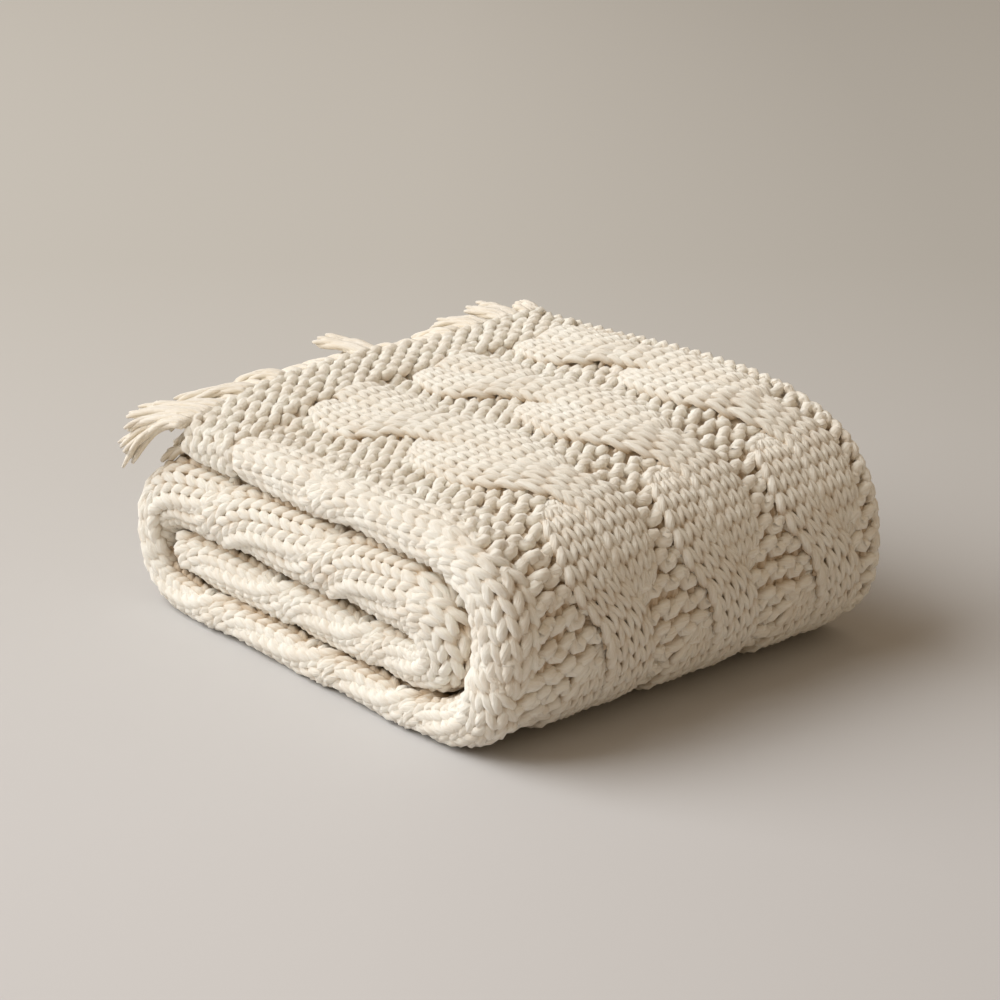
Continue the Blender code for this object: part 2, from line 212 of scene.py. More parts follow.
def strand_course(s, strand, crossings=CROSSING_AT):
    """Place, share of width and drop of strand 0 or 1 of a cable at distance s, and the u in its
    course: the crossings passed, at half pace while the strands open out, plus one for strand 1."""
    passed = np.interp(s, crossings, np.arange(len(crossings)))
    u = np.where(passed < OPENING, OPENING + 0.5 * (passed - OPENING), passed)
    u = (u + strand) % 2.0
    size = OPENS_FROM + (1 - OPENS_FROM) * np.clip(passed / OPENING, 0.0, 1.0)
    return (np.interp(u, COURSE_U, COURSE_PLACE) * size, np.interp(u, COURSE_U, COURSE_SHARE) * size,
            np.interp(u, COURSE_U, COURSE_DROP), u)


def cable_relief(s, offset, crossings=CROSSING_AT):
    """Height over the plain knitting at an offset from a cable's middle.

    The higher of its two strands: ridge less drop, times (1 - across squared) to a power.
    """
    best = np.zeros(np.broadcast(s, offset).shape)
    for strand in (0, 1):
        middle, share, drop = strand_course(s, strand, crossings)[:3]
        across = (offset - middle) / (STRAND_HALF_WIDTH * np.maximum(share, NARROWEST))
        crown = np.clip(1 - across ** 2, 0.0, 1.0) ** CROWN_POWER
        best = np.maximum(best, np.clip(RIDGE - drop, 0.0, RIDGE) * crown)
    return best


FOLD_CABLE_WIDTH = 36.0              # half the width of the near fold's cable, unstretched
MOST_STRETCH = 1.32


def fold_scale(s):
    """How far the cable on the near fold is stretched: the thicker the fold, the wider."""
    return np.clip(math.pi / 4 * thickness(s) / FOLD_CABLE_WIDTH, 1.0, MOST_STRETCH)


def pressed_flat(s):
    """1 where the cloth lies on the floor, 0 elsewhere."""
    return np.interp(s, (540.0, 572.0, 900.0, 930.0), (0.0, 1.0, 1.0, 0.0))


def past_the_top(s):
    """0 on the top, 1 from the outer fold on."""
    return np.interp(s, (310.0, 400.0), (0.0, 1.0))


def to_linear(hex_colour):
    """sRGB hex to linear: c / 12.92 up to 0.04045, else ((c + 0.055) / 1.055) ** 2.4."""
    c = np.array([int(hex_colour[k:k + 2], 16) for k in (1, 3, 5)]) / 255
    c = np.where(c <= 0.04045, c / 12.92, ((c + 0.055) / 1.055) ** 2.4)
    return (*c.tolist(), 1.0)


def add_node(tree, kind, settings=None, links=None):
    """Adds one node; settings go to its properties or sockets, links to its input sockets."""
    made = tree.nodes.new(kind)
    for name, value in (settings or {}).items():
        if isinstance(name, str) and hasattr(made, name):
            setattr(made, name, value)
        else:
            made.inputs[name].default_value = value
    for name, output in (links or {}).items():
        tree.links.new(output, made.inputs[name])
    return made


MIX_SHARE, MIX_FIRST, MIX_SECOND, MIX_RESULT = 0, 6, 7, 2     # sockets of a Mix node for colours
LOCKS_PER_METRE = (55.0, 650.0, 1.0)                          # along the yarn and across it
FLEECE_PER_METRE = 42.0
FUZZ_PER_METRE = 900.0


def wool(name, light, shade_tone, streak=1.0):
    """Loosely spun wool, undyed: matte, with fibres lying along the yarn.

    Real fibres are 0.03 mm thick and too fine to show, so the streaks are drawn as locks 1.5 mm
    across the yarn and 18 mm along it, and the fuzz is 1 mm coarse. The tone wanders over some
    25 mm as fleece does. Painted shade, held at each point of the mesh, pulls the tone towards
    the deeper colour: on the yarn's undersides, at the backs of loops, between layers and on the
    faces turned from the light.
    """
    material = bpy.data.materials.new(name)
    material.use_nodes = True
    tree = material.node_tree
    shader = tree.nodes["Principled BSDF"]
    shader.inputs["Roughness"].default_value = 0.97
    shader.inputs["Specular IOR Level"].default_value = 0.06
    shader.inputs["Diffuse Roughness"].default_value = 0.9
    shader.inputs["Sheen Weight"].default_value = 0.25
    shader.inputs["Sheen Roughness"].default_value = 0.55
    shader.inputs["Sheen Tint"].default_value = to_linear("#fff6e8")
    where = add_node(tree, "ShaderNodeTexCoord")
    yarn = add_node(tree, "ShaderNodeMapping", {"Scale": LOCKS_PER_METRE},
                    {"Vector": where.outputs["UV"]})
    locks = add_node(tree, "ShaderNodeTexNoise", {"Scale": 1.0, "Detail": 4.0, "Roughness": 0.6,
                                                  "Distortion": 0.4}, {"Vector": yarn.outputs[0]})
    fleece = add_node(tree, "ShaderNodeTexNoise", {"Scale": FLEECE_PER_METRE, "Detail": 3.0},
                      {"Vector": where.outputs["Object"]})
    fuzz = add_node(tree, "ShaderNodeTexNoise", {"Scale": FUZZ_PER_METRE, "Detail": 3.0},
                    {"Vector": where.outputs["Object"]})
    streaked = add_node(tree, "ShaderNodeMath", {"operation": "MULTIPLY_ADD", 1: 0.55, 2: 0.46},
                        {0: locks.outputs["Fac"]})
    mottled = add_node(tree, "ShaderNodeMath", {"operation": "MULTIPLY_ADD", 1: 0.4},
                       {0: fleece.outputs["Fac"], 2: streaked.outputs[0]})
    # painted shade read from each point deepens the tone; the fleece mottle is the wool's own
    painted_shade = add_node(tree, "ShaderNodeAttribute", {"attribute_name": "painted_shade"})
    mottle_less_painted_shade = add_node(tree, "ShaderNodeMath",
                        {"operation": "MULTIPLY_ADD", 1: -0.9, "use_clamp": True},
                        {0: painted_shade.outputs["Fac"], 2: mottled.outputs[0]})
    tone = add_node(tree, "ShaderNodeMix", {"data_type": "RGBA", MIX_FIRST: to_linear(shade_tone),
                                            MIX_SECOND: to_linear(light)},
                    {MIX_SHARE: mottle_less_painted_shade.outputs[0]})
    tree.links.new(tone.outputs[MIX_RESULT], shader.inputs["Base Color"])
    raised_locks = add_node(tree, "ShaderNodeBump", {"Strength": 0.8 * streak, "Distance": 0.0018},
                            {"Height": locks.outputs["Fac"]})
    raised_fuzz = add_node(tree, "ShaderNodeBump", {"Strength": 0.4, "Distance": 0.0008},
                           {"Height": fuzz.outputs["Fac"], "Normal": raised_locks.outputs[0]})
    tree.links.new(raised_fuzz.outputs[0], shader.inputs["Normal"])
    return material


# the second tone is the colour of the painted shade, which the wool's own mottle also reaches a little
KNIT_WOOL = wool("cream wool, hand knitted", "#fafaf5", "#bf9d68")


def fill_mesh(name, points, corners, starts, uv, painted_shade, material):
    """A smooth mesh object from arrays of points, face corners and where each face starts, with UVs
    and a painted shade at each point.
    """
    mesh = bpy.data.meshes.new(name)
    mesh.vertices.add(len(points))
    mesh.vertices.foreach_set("co", points.astype(np.float32).ravel())
    mesh.loops.add(len(corners))
    mesh.loops.foreach_set("vertex_index", corners.astype(np.int32))
    mesh.polygons.add(len(starts))
    mesh.polygons.foreach_set("loop_start", starts.astype(np.int32))
    mesh.update(calc_edges=True)
    layer = mesh.uv_layers.new(name="yarn")
    layer.data.foreach_set("uv", uv.astype(np.float32).ravel())
    # each point's painted shade, which the wool reads to deepen its tone
    shade = mesh.attributes.new("painted_shade", "FLOAT", "POINT")
    shade.data.foreach_set("value", painted_shade.astype(np.float32).ravel())
    mesh.materials.append(material)
    mesh.shade_smooth()
    piece = bpy.data.objects.new(name, mesh)
    bpy.context.scene.collection.objects.link(piece)
    return piece


SET_BACK = 4.6                       # the cloth stands back from the crowns of its stitches
BORDER_DROP = 3.5                    # the border's ridges are this much lower than a cable
FAR_FOLD_BACK = 3.5                  # the far fold's cloth stands back from its skin
HOLLOW_SHOWN = 0.3                   # share of a hollow that the near fold's cloth follows
HOLLOW_PRESSED = 0.6                 # and how much of that share is pressed out on the floor
PLY = 12.6                           # thickness of one ply
PLY_AIR = 1.6                        # least air in all between the three plies
BACK_ROOM = 3.0                      # left off the backs of the middle and lower plies,
NEAR_FOLD_ROOM = 2.0                 # of the near fold
UPPER_ROOM = 1.0                     # and of the upper ply, so that the plies stay clear
EDGE_IN = 3.0                        # the upper ply's cloth ends this far inside the far edge
FACE_STARTS_V = 34.0                 # where the near fold has become the outer face
BOTTOM_H = 1.5                       # height of the lower ply's cloth over its stitches
FAR_FOLD_IN = 7.0                    # the two lower plies turn this far inside the far edge
TUCK_IN, TUCK_TIP = 8.0, 4.5         # the middle ply's fold, from the near fold's centre
MIDDLE_V = 205.0                     # halfway across, where the hidden plies are given a point
STATION_GAP = 7.0                    # between two sections of the cloth along the band
ENDS_IN = 3.0                        # the cloth's ends lie this far inside the yarn's
POINT_GAP = 8.0                      # a fair length for one step round a section


def arc(first, last, count=9):
    """A row of angles in radians, from first to last in degrees."""
    return np.radians(np.linspace(first, last, count))[None, :]


def cloth_section(s):
    """Closed outline of the folded band at each s, as v and h arrays (stations, points).

    Upper ply with the hollows between cables, near fold, lower ply, far fold, tucked-in middle
    ply, and the inside of the near fold and of the upper ply. Each fold is half a circle, and the
    near one is squared as the skin is.
    """
    height = thickness(s)[:, None]
    ply = np.minimum(PLY, (height - PLY_AIR) / 3)
    gap = (height - 3 * ply) / 2
    half = height / 2
    flat = pressed_flat(s)[:, None]
    blank = np.zeros((len(s), 1))
    border = s[:, None] < BORDER_LENGTH + 3

    top_v = np.linspace(BAND_WIDTH - EDGE_IN, FACE_STARTS_V, 76)[None, :]
    relief = np.zeros((len(s), top_v.shape[1]))
    for centre in CABLE_CENTRES:
        relief = np.maximum(relief, cable_relief(s[:, None], top_v - centre))
    relief = np.where(border, RIDGE - BORDER_DROP, relief)
    depth = (RIDGE - relief) * (1 - flat) + SET_BACK
    outline = [(top_v + blank, height - depth)]

    turn = arc(88.0, -88.0, 27)
    relief = np.where(border, RIDGE - BORDER_DROP, cable_relief(
        s[:, None], turn * half / fold_scale(s)[:, None], FOLD_CROSSING_AT))
    reach = half - SET_BACK - HOLLOW_SHOWN * (RIDGE - relief) * (1 - HOLLOW_PRESSED * flat)
    outline.append((half - reach * np.cos(turn) ** FOLD_SQUARENESS, half + reach * np.sin(turn)))

    quarters = np.array([[0.25, 0.5, 0.75]])
    outline.append((blank + quarters * BAND_WIDTH, blank + 0 * quarters + BOTTOM_H))
    far_fold_v = BAND_WIDTH - FAR_FOLD_IN - ply - gap / 2
    far_fold_h = ply + gap / 2
    reach, turn = far_fold_h - FAR_FOLD_BACK, arc(-90.0, 90.0)
    outline.append((far_fold_v + reach * np.cos(turn), far_fold_h + reach * np.sin(turn)))

    outline += [(blank + MIDDLE_V, 2 * ply + gap - BACK_ROOM),
                (half + TUCK_IN, 2 * ply + gap - BACK_ROOM),
                (half + TUCK_TIP, 1.5 * ply + gap),
                (half + TUCK_IN, ply + gap + BACK_ROOM),
                (blank + MIDDLE_V, ply + gap + BACK_ROOM)]
    reach, turn = gap / 2 + BACK_ROOM, arc(90.0, -90.0, 3)
    outline.append((far_fold_v + reach * np.cos(turn), far_fold_h + reach * np.sin(turn)))
    outline.append((blank + MIDDLE_V, ply - BACK_ROOM))

    reach, turn = half - ply + NEAR_FOLD_ROOM, arc(270.0, 90.0)
    outline.append((half + reach * np.cos(turn), half + reach * np.sin(turn)))
    outline += [(blank + MIDDLE_V, height - ply + UPPER_ROOM),
                (blank + BAND_WIDTH - EDGE_IN, height - ply + UPPER_ROOM)]
    return [np.concatenate(rows, axis=1) for rows in zip(*outline)]


stations = np.concatenate([np.arange(ENDS_IN, BAND_LENGTH - 2 * ENDS_IN, STATION_GAP),
                           [BAND_LENGTH - ENDS_IN]])
section_v, section_h = cloth_section(stations)
rings, around = section_v.shape
points = place(np.repeat(stations[:, None], around, axis=1), section_v, section_h).reshape(-1, 3)
i, j = np.meshgrid(np.arange(rings - 1), np.arange(around), indexing="ij")
k = (j + 1) % around
quads = np.stack([i * around + j, i * around + k, (i + 1) * around + k, (i + 1) * around + j],
                 axis=-1).reshape(-1, 4)
ends = np.concatenate([np.arange(around)[::-1], (rings - 1) * around + np.arange(around)])
corners = np.concatenate([quads.ravel(), ends])
starts = np.concatenate([np.arange(len(quads)) * 4, [len(quads) * 4, len(quads) * 4 + around]])
flat_uv = np.stack([np.repeat(stations, around), np.tile(np.arange(around) * POINT_GAP, rings)],
                   axis=-1) / 1000
# painted shade on the cloth that lies in the stitches' shadow, deeper from the outer fold on, which
# faces from the light
cloth_painted_shade = np.repeat(0.5 + 0.15 * past_the_top(stations), around)
cloth = fill_mesh("knitted_cloth", points, corners, starts, flat_uv[corners], cloth_painted_shade,
                  KNIT_WOOL)
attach(cloth, "root")
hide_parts("blanket")


# ---- Cable stitches: the loops of the thick yarn, in courses across the band and wales along it ---
# A course is one yarn that goes from foot to head to foot of each loop. A cable is two strands of
# three or four wales; every dozen courses the knitter takes one strand in front of the other.
YARN_SIDES = 6
UNDERSIDE_SHADE = 0.38               # painted shade: how much deeper in tone a yarn's underside is painted than its side
YARN_GIRTH = 2 * math.pi * 0.0035    # of a usual yarn, in metres, for the lie of the fibres
FIBRE_TWIST = 0.3                    # the fibres creep round by this share of the way along
NEXT_YARN = 0.037                    # each course shows the wool this much further on
KNIT_START = 72.0                    # the cables and the ground start here, after the border
OUTER_FOLD_FOOT = 575.0
INSIDE_ROLL = 1065.0                 # from here the outer face is hidden inside the roll
KNIT_END = BAND_LENGTH - 5.0
FACES = (("top", KNIT_START, OUTER_FOLD_FOOT), ("underside", OUTER_FOLD_FOOT, INSIDE_ROLL))
# crossings, courses between them, wales in a strand, a wale's width, yarn radius, a loop's lean
TOP_GAUGE = (CROSSING_AT, COURSES_BETWEEN, 4, 12.2, 3.35, 0.24)
FOLD_GAUGE = (FOLD_CROSSING_AT, FOLD_COURSES_BETWEEN, 3, 16.6, 4.5, 0.25)


def yarn_loop(lean, height, depth, steps=13, square=0.0):
    """One loop of yarn: x = t / 2 pi + lean sin 2t wales, y = height cos t (1 + square sin^2 t)
    courses, z = depth cos 2t millimetres. With positive depth heads and feet come forward, and
    the loop is cut at a leg; with negative depth the legs do, and it is cut at a foot."""
    start = -math.pi / 2 if depth > 0 else -math.pi
    t = start + np.linspace(0.0, 2 * math.pi, steps)
    return (t / (2 * math.pi) + lean * np.sin(2 * t),
            height * np.cos(t) * (1 + square * np.sin(t) ** 2), depth * np.cos(2 * t))


def wander(course, x, size, seed):
    """Smooth unevenness along each course: half the sum of three sines of x, with paces and
    phases of the course's own, times size. A number added to the course gives it others."""
    rows = 4096
    draw = np.random.default_rng(seed)
    phase = draw.uniform(0, 2 * math.pi, (rows, 3))
    pace = draw.uniform(0.6, 1.5, (rows, 3)) * np.array([0.05, 0.13, 0.29])
    row = np.asarray(course, dtype=int) % rows
    return size * np.sin(pace[row] * np.asarray(x)[..., None] + phase[row]).sum(axis=-1) / 2


def yarn_tubes(name, centre, upper, radius, painted_shade, material, sides=YARN_SIDES):
    """Closed tubes of yarn along lines of centres (tubes, steps, 3).

    Each ring is centre + radius (cos a side + sin a up), where up points out of the cloth and
    side is square to it and to the yarn; the ends are closed by a face.
    """
    tubes, steps = centre.shape[:2]
    along = np.gradient(centre, axis=1)
    along /= np.linalg.norm(along, axis=-1, keepdims=True)
    up = upper - centre
    up -= (up * along).sum(axis=-1, keepdims=True) * along
    up /= np.linalg.norm(up, axis=-1, keepdims=True)
    side = np.cross(along, up)
    angle = (np.arange(sides) / sides - 0.25) * 2 * math.pi
    ring = (np.cos(angle)[:, None] * side[:, :, None, :] + np.sin(angle)[:, None] * up[:, :, None, :])
    points = centre[:, :, None, :] + ring * (radius / 1000)[..., None, None]
    # painted shade: the given amount, deeper on the tube's underside and less on its upper side
    shade = np.clip(painted_shade[..., None] + UNDERSIDE_SHADE * (0.25 - np.sin(angle)), 0.0, 1.0)
    tube, step, k = np.meshgrid(np.arange(tubes), np.arange(steps - 1), np.arange(sides),
                                indexing="ij")
    low = (tube * steps + step) * sides
    n = (k + 1) % sides
    quads = np.stack([low + k, low + sides + k, low + sides + n, low + n], axis=-1)
    first = np.arange(tubes)[:, None] * steps * sides + np.arange(sides)
    last = first + (steps - 1) * sides
    caps = np.concatenate([first, last[:, ::-1]], axis=0)
    corners = np.concatenate([quads.ravel(), caps.ravel()])
    count = quads.size // 4
    starts = np.concatenate([np.arange(count) * 4, count * 4 + np.arange(len(caps)) * sides])
    run = np.concatenate([np.zeros((tubes, 1)),
                          np.cumsum(np.linalg.norm(np.diff(centre, axis=1), axis=-1), axis=1)], axis=1)
    run += np.arange(tubes)[:, None] * NEXT_YARN
    u = np.stack([run[tube, step], run[tube, step + 1], run[tube, step + 1], run[tube, step]], -1)
    w = np.stack([k, k, k + 1, k + 1], axis=-1) * YARN_GIRTH / sides + FIBRE_TWIST * u
    uv = np.stack([u.ravel(), w.ravel()], axis=-1)
    cap_uv = np.zeros((caps.size, 2))
    cap_uv[:, 0] = 0.1
    piece = fill_mesh(name, points.reshape(-1, 3), corners, starts,
                      np.concatenate([uv, cap_uv]), shade.ravel(), material)
    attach(piece, "root")
    return piece


def course_places(crossings, counts):
    """Distance and spacing of every course, evenly spread between each two crossings."""
    after_crossing = 3.0
    places = [np.linspace(a, b, n, endpoint=False)
              for a, b, n in zip(crossings[:-1], crossings[1:], counts)]
    places = np.concatenate(places) + after_crossing
    return places, np.gradient(places)


def rest_on_floor(centre, upper, radius):
    """Yarn pressed against the floor: height becomes low + soft log(1 + exp((height - low) / soft)),
    where low is 0.2 mm more than the yarn's radius."""
    low, soft = (radius + 0.2) / 1000, 0.0012
    rise = low + soft * np.logaddexp(0.0, (centre[..., 2] - low) / soft) - centre[..., 2]
    step = np.stack([0 * rise, 0 * rise, rise], axis=-1)
    return centre + step, upper + step


LEG_DEPTH = 2.2                      # a leg lies this far in front of its loop's middle
LEG_SWELL = 0.08                     # and is thicker by this share
LOOP_HEIGHT = 0.80                   # from a loop's middle to its head, in courses
STEEPEST = 0.65                      # slope of a strand beyond which its courses lean no more
TURNED = 0.6                         # how much of the slope a course leans with
STITCH_CROWN = 0.34                  # power of a strand's crown; the less, the flatter
ROPE_RISE = 2.6                      # how far a strand's near edge stands up as a rope
ROPE_SWELL = 0.42                    # and how much thicker it is there
ROPE_ON_TOP = 0.25                   # share of both that shows on the top
DIVING_WIDTH = 0.35                  # share of its width that a diving strand keeps on the fold
SHALLOWEST, THINNEST = 0.4, 0.6      # of a loop's depth and radius, as a strand narrows to nothing
CREVICE_FROM, CREVICE_RATE = 0.5, 2.2     # in quarter turns of the near fold: where the painted shade between two layers starts, and how fast it deepens
LIT_UNTIL = 600.0                    # up to here the fold's upper half lies open to the light
OUT_OF_SIGHT = 18.0                  # stitches further round the fold than this are left out


def strand_stitches(centre, first, last, gauge=TOP_GAUGE):
    """Lines, uppers, radii and painted shade of one cable's knit stitches between two distances.

    A wale lies at its own share of the strand's width from the strand's wandering middle, and a
    course leans so that it stays square to the strand. Legs come forward: depth is negative. A
    strand's crown is (1 - across squared) to a power, and its near edge stands up thicker, like
    a rope along the strand. Painted shade deepens the tone at heads and feet, which lie back,
    between two layers, and from the outer fold on, which faces from the light; the rope edge is
    painted a little paler.
    """
    crossings, counts, wales, pitch, yarn, lean = gauge
    on_fold = gauge is FOLD_GAUGE
    fill = DIVING_WIDTH if on_fold else 0.0
    course_at, course_gap = course_places(crossings, counts)
    x_loop, y_loop, z_loop = yarn_loop(lean, LOOP_HEIGHT, -LEG_DEPTH)
    chosen = np.flatnonzero((course_at >= first) & (course_at < last))
    parts = []
    for strand in (0, 1):
        u = strand_course(course_at[chosen], strand, crossings)[3]
        seen = chosen[(u < UNDER[0]) | (u > UNDER[1])]
        course, wale = (grid.ravel()[:, None] for grid in
                        np.meshgrid(seen, np.arange(wales), indexing="ij"))
        across = wale - (wales - 1) / 2 + x_loop[None, :]
        s0 = course_at[course]
        ahead, behind = (strand_course(s0 + step, strand, crossings)[0] for step in (5, -5))
        slope = (ahead - behind) / 10
        slope = np.clip(slope, -STEEPEST, STEEPEST)
        share = fill + (1 - fill) * strand_course(s0, strand, crossings)[1]
        s = s0 + y_loop[None, :] * course_gap[course] - TURNED * slope * across * pitch * share
        s = s + wander(course + int(centre) + 997 * strand, across * pitch, size=0.9, seed=11)
        middle, share, drop = strand_course(s, strand, crossings)[:3]
        share, drop = fill + (1 - fill) * share, drop * (1 - fill)
        offset = middle + across * pitch * share
        crown = np.clip(1 - (across / (wales / 2 + 0.03)) ** 2, 0.02, 1.0) ** STITCH_CROWN
        rope = np.clip(1.0 - (across + wales / 2) / 0.5, 0.0, 1.0) ** 0.5
        rope = rope * (ROPE_ON_TOP + (1 - ROPE_ON_TOP) * past_the_top(s))
        depth = z_loop[None, :] * (SHALLOWEST + (1 - SHALLOWEST) * share)
        out = depth - yarn - drop - RIDGE * (1 - crown)
        out = out + ROPE_RISE * rope + wander(course + 71 * strand, across * pitch, size=0.4, seed=23)
        front = z_loop[None, :] / LEG_DEPTH + 0 * s
        radius = (yarn * (1 + LEG_SWELL * front) * (1 + ROPE_SWELL * rope)
                  * (THINNEST + (1 - THINNEST) * share))
        if on_fold:
            q = offset * fold_scale(s)
            quarters = np.abs(q) / (math.pi / 4 * thickness(s))
            # painted shade in the crevice between two layers of the roll, except where the fold's
            # upper half lies open to the light
            crevice_shade = np.clip((quarters - CREVICE_FROM) * CREVICE_RATE, 0.0, 1.0)
            crevice_shade = np.where((q > 0.0) & (s < LIT_UNTIL), 0.0, crevice_shade)
            keep = np.abs(q).max(axis=1) < math.pi / 4 * thickness(s0[:, 0]) + OUT_OF_SIGHT
        else:
            q = across_top(s, centre + offset)
            crevice_shade = 0.0
            keep = np.ones(len(s), dtype=bool)
            radius = radius * (1 - 0.12 * past_the_top(s)) / np.sqrt(1 + 0.7 * slope ** 2)
        line, upper = rest_on_floor(skin(s, q, out), skin(s, q, out + 1.0), radius)
        # painted shade: deeper past the top, at heads and feet, and in the crevice between layers; the
        # rope edge is painted paler
        shade_tone = 0.36 + 0.12 * past_the_top(s)
        painted_shade = shade_tone * (1 - 0.88 * front) - 0.1 * rope + 0.5 * crevice_shade
        parts.append([a[keep] for a in (line, upper, radius, painted_shade)])
    return [np.concatenate(pair) for pair in zip(*parts)]


for cable, centre in zip(("near", "middle", "far"), CABLE_CENTRES):
    for face, first, last in FACES:
        yarn_tubes("cable_" + cable + "_" + face,
                                        *strand_stitches(centre, first, last), KNIT_WOOL)
LEFT_FOLD = 900.0
for face, first, last in (("outside", KNIT_START, LEFT_FOLD), ("inside", LEFT_FOLD, KNIT_END)):
    yarn_tubes("cable_on_near_fold_" + face,
                                    *strand_stitches(0.0, first, last, FOLD_GAUGE), KNIT_WOOL)


# ---- Ground stitches: the plain knitting between the cables, worked in purl ----------------------
# Here the heads and feet of the same yarn's loops come forward and lie side by side like beads,
# lower than the cables; the cables cover the columns next to them where they swing out.
GROUND_WALE = 19.6
GROUND_COURSE = 14.8
GROUND_YARN = 4.8                    # radius
GROUND_DEPTH = 3.2                   # a head or foot lies this far in front of its loop's middle
GROUND_FOOT = RIDGE - 0.9            # the ground's skin lies this far under the cables' crowns
GROUND_AT = np.arange(2.0, BAND_LENGTH - 8.0, GROUND_COURSE)
GROUND_WALES = np.arange(BAND_WIDTH - 19.0, 38.0, -GROUND_WALE)     # across the outer face
GROUND_FOLD_WALES = np.arange(-82.0, 83.0, GROUND_WALE)             # round the near fold
FOLD_TO_TOP = 40.0                   # the fold's ground ends at this place on the outer face,
FOLD_TO_INSIDE = 14.0                # or this far past its quarter turn inside the roll,
FOLD_TO_UNDER = 8.0                  # and this far past it underneath


def under_cable(s, offset, scale=1.0, crossings=CROSSING_AT, tucked=14.0):
    """Whether a place at this offset from a cable's middle lies under one of its strands, more
    than the tucked-in width from the strand's edge."""
    covered = np.zeros(np.broadcast(s, offset).shape, dtype=bool)
    for strand in (0, 1):
        middle, share, _, u = strand_course(s, strand, crossings)
        seen = (u < UNDER[0] - 0.08) | (u > UNDER[1] + 0.07)
        half_width = STRAND_HALF_WIDTH * share * scale
        covered |= seen & (np.abs(offset - middle * scale) < half_width - tucked)
    return covered


def ground_stitches(course, q_wale, to_skin, lift=0.0):
    """Purl stitches for pairs of course and wale: heads and feet come forward, and each leans
    by a sine of its way across so that it falls towards the fringed end. On the outer fold the
    yarn is fuller."""
    x_loop, y_loop, z_loop = yarn_loop(lean=0.17, height=0.70, depth=GROUND_DEPTH, steps=17,
                                       square=0.25)
    lean = -0.13 * np.sin(4 * math.pi * x_loop)
    course, q_wale = course[:, None], q_wale[:, None]
    q = q_wale + x_loop[None, :] * GROUND_WALE
    s = GROUND_AT[course] + (y_loop + lean)[None, :] * GROUND_COURSE
    s = s + wander(course, q, size=1.6, seed=37)
    q = q + wander(course + 91, q, size=1.4, seed=41)
    out = z_loop[None, :] - GROUND_YARN - GROUND_FOOT + lift
    out = out + wander(course + 17, q, size=0.6, seed=43)
    front = z_loop[None, :] / GROUND_DEPTH + 0 * s
    radius = GROUND_YARN * (1 + 0.05 * front) * (1 + wander(course + 5, q, size=0.05, seed=47))
    radius = radius * np.interp(s, (330.0, 400.0, 560.0, 620.0), (1.0, 1.15, 1.15, 1.0))
    line, upper = rest_on_floor(to_skin(s, q, out), to_skin(s, q, out + 1.0), radius)
    # painted shade: deeper on the outer fold, which faces from the light, and at the legs, which lie
    # back behind the heads and feet
    shade_tone = np.interp(s, (300.0, 400.0), (0.24, 0.40))
    return line, upper, radius, shade_tone * (1 - 0.94 * front)


def top_skin(s, v, out):
    """Point of the skin over the band's outer face, at a place v across the band."""
    return skin(s, across_top(s, v), out)


def pairs(first, last, wales):
    """Every plain course between two distances with every wale of a list."""
    chosen = np.flatnonzero((GROUND_AT >= first) & (GROUND_AT < last))
    return (grid.ravel() for grid in np.meshgrid(chosen, wales, indexing="ij"))


for face, first, last in FACES:
    course, v_wale = pairs(first, last, GROUND_WALES)
    s_wale = GROUND_AT[course]
    hidden = under_cable(s_wale, across_top(s_wale, v_wale), fold_scale(s_wale),
                         FOLD_CROSSING_AT, tucked=9.0)
    for centre in CABLE_CENTRES:
        hidden |= under_cable(s_wale, v_wale - centre)
    yarn_tubes("ground_" + face, *ground_stitches(
        course[~hidden], v_wale[~hidden], top_skin), KNIT_WOOL)

course, q_wale = pairs(KNIT_START, KNIT_END, GROUND_FOLD_WALES)
s_wale = GROUND_AT[course]
quarter = math.pi / 4 * thickness(s_wale)
ends_at = np.where(s_wale > INSIDE_ROLL, quarter + FOLD_TO_INSIDE, across_top(s_wale, FOLD_TO_TOP))
hidden = under_cable(s_wale, q_wale, fold_scale(s_wale), FOLD_CROSSING_AT, tucked=8.0)
hidden |= (q_wale < -quarter - FOLD_TO_UNDER) | (q_wale > ends_at)
yarn_tubes("ground_on_near_fold", *ground_stitches(
    course[~hidden], q_wale[~hidden], skin, lift=2.9), KNIT_WOOL)


# ---- Far side: the free edge of the upper ply and the fold of the two plies under it ------------
# Both are of the same yarn. The free edge is a chain of slipped stitches turned outwards, and the
# fold shows two columns of purl.
SELVEDGE_DOWN = 9.8                  # where the chain starts, under the band's top
SELVEDGE_IN = 4.5                    # its middle, inside the far edge
SELVEDGE_WALE = 9.0
SELVEDGE_DEPTH = 2.0
SELVEDGE_YARN = 3.5
FAR_FOLD_WALES = np.array([-17.0, 3.0])


def edge_skin(s, up, out):
    """Point on the upper ply's free edge, a wall at the far side: up its height, out of it."""
    return place(s, BAND_WIDTH - SELVEDGE_IN + out, thickness(s) - SELVEDGE_DOWN + up)


def far_fold_skin(s, q, out):
    """Point on the far fold: a half circle about the gap between its two plies."""
    ply = np.minimum(PLY, (thickness(s) - PLY_AIR) / 3)
    radius = (thickness(s) - 3 * ply) / 4 + ply
    middle = BAND_WIDTH - FAR_FOLD_IN - radius
    turn = q / radius
    return place(s, middle + (radius + out) * np.cos(turn), radius + (radius + out) * np.sin(turn))


x_loop, y_loop, z_loop = yarn_loop(lean=0.27, height=0.74, depth=-SELVEDGE_DEPTH)
course_at, course_gap = course_places(np.concatenate([[6.0], CROSSING_AT]), (4,) + COURSES_BETWEEN)
course = np.arange(len(course_at))[:, None]
s = course_at[course] + y_loop[None, :] * course_gap[course]
up = x_loop[None, :] * SELVEDGE_WALE + wander(course, s, size=0.5, seed=61)
out = z_loop[None, :] + 0 * s
front = out / SELVEDGE_DEPTH
